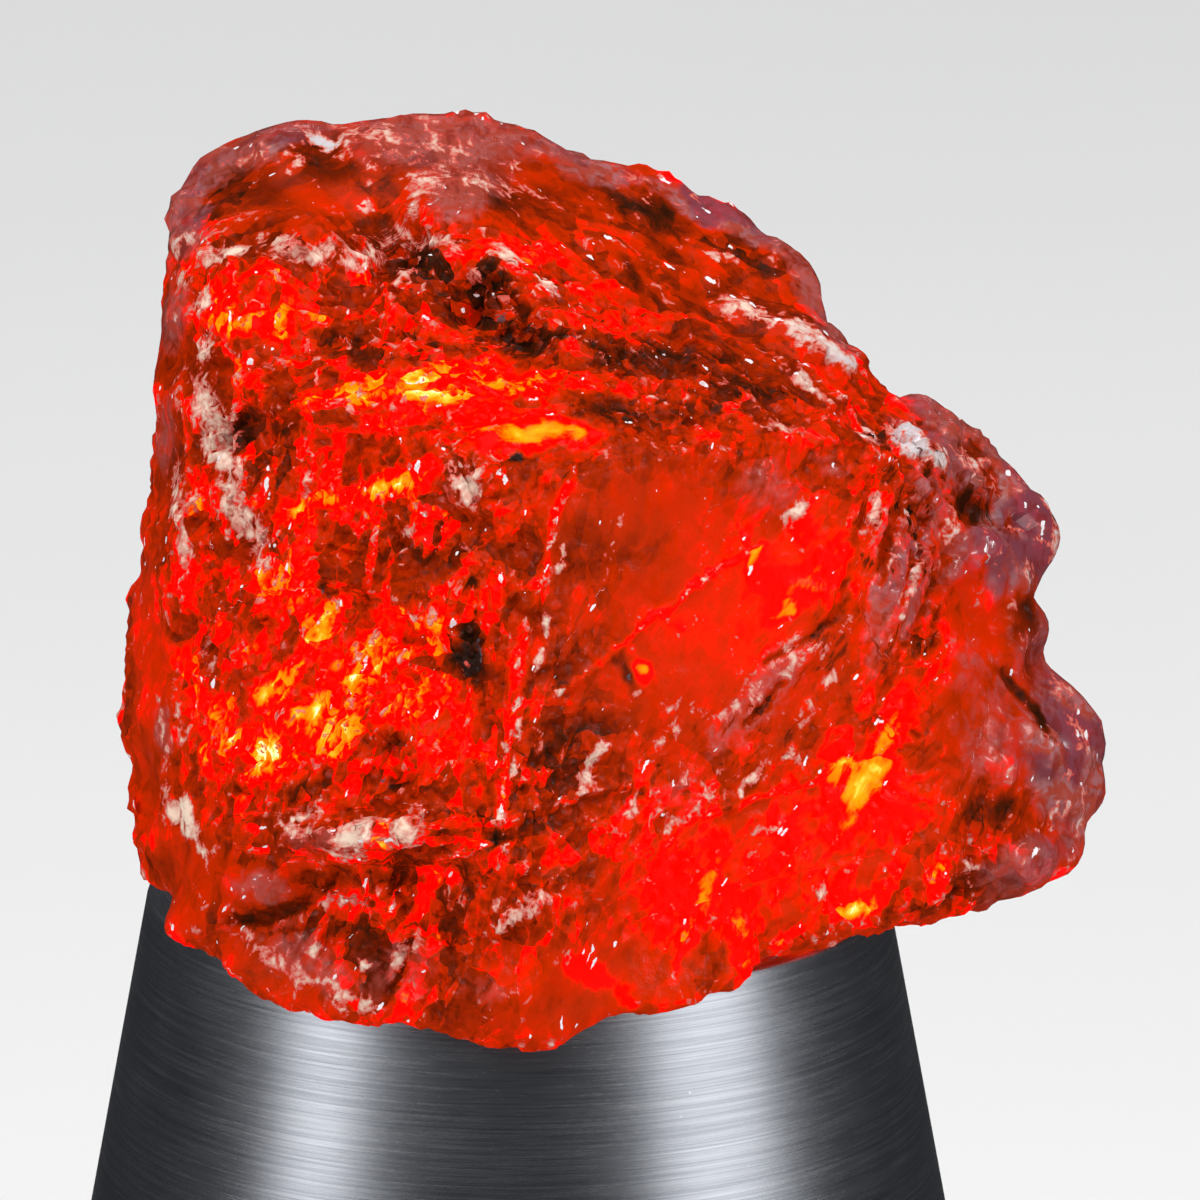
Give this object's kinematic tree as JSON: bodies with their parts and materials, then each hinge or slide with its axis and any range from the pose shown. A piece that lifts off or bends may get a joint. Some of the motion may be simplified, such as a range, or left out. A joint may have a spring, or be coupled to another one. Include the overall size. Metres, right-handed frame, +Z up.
{
  "type": "sphalerite specimen on a stand",
  "caption": "Rough orange-red sphalerite, cleaved and broken, resting on the flat top of a turned brushed-steel cone stand.",
  "frame": {"origin": "centre of the stand's flat foot", "axes": "+Z up along the stand's axis, the stone's upright front ridge faces -Y, its lumpy end points to +X"},
  "size_m": [0.0225, 0.0212, 0.0325],
  "materials": {
    "sphalerite": "broken and cleaved, resinous gloss, glowing orange where light passes through it",
    "brushed_steel": "turned, with fine brush marks running round it"
  },
  "bodies": {
    "root": {"sphalerite": "sphalerite", "stand": "brushed_steel"}
  },
  "joints": []
}
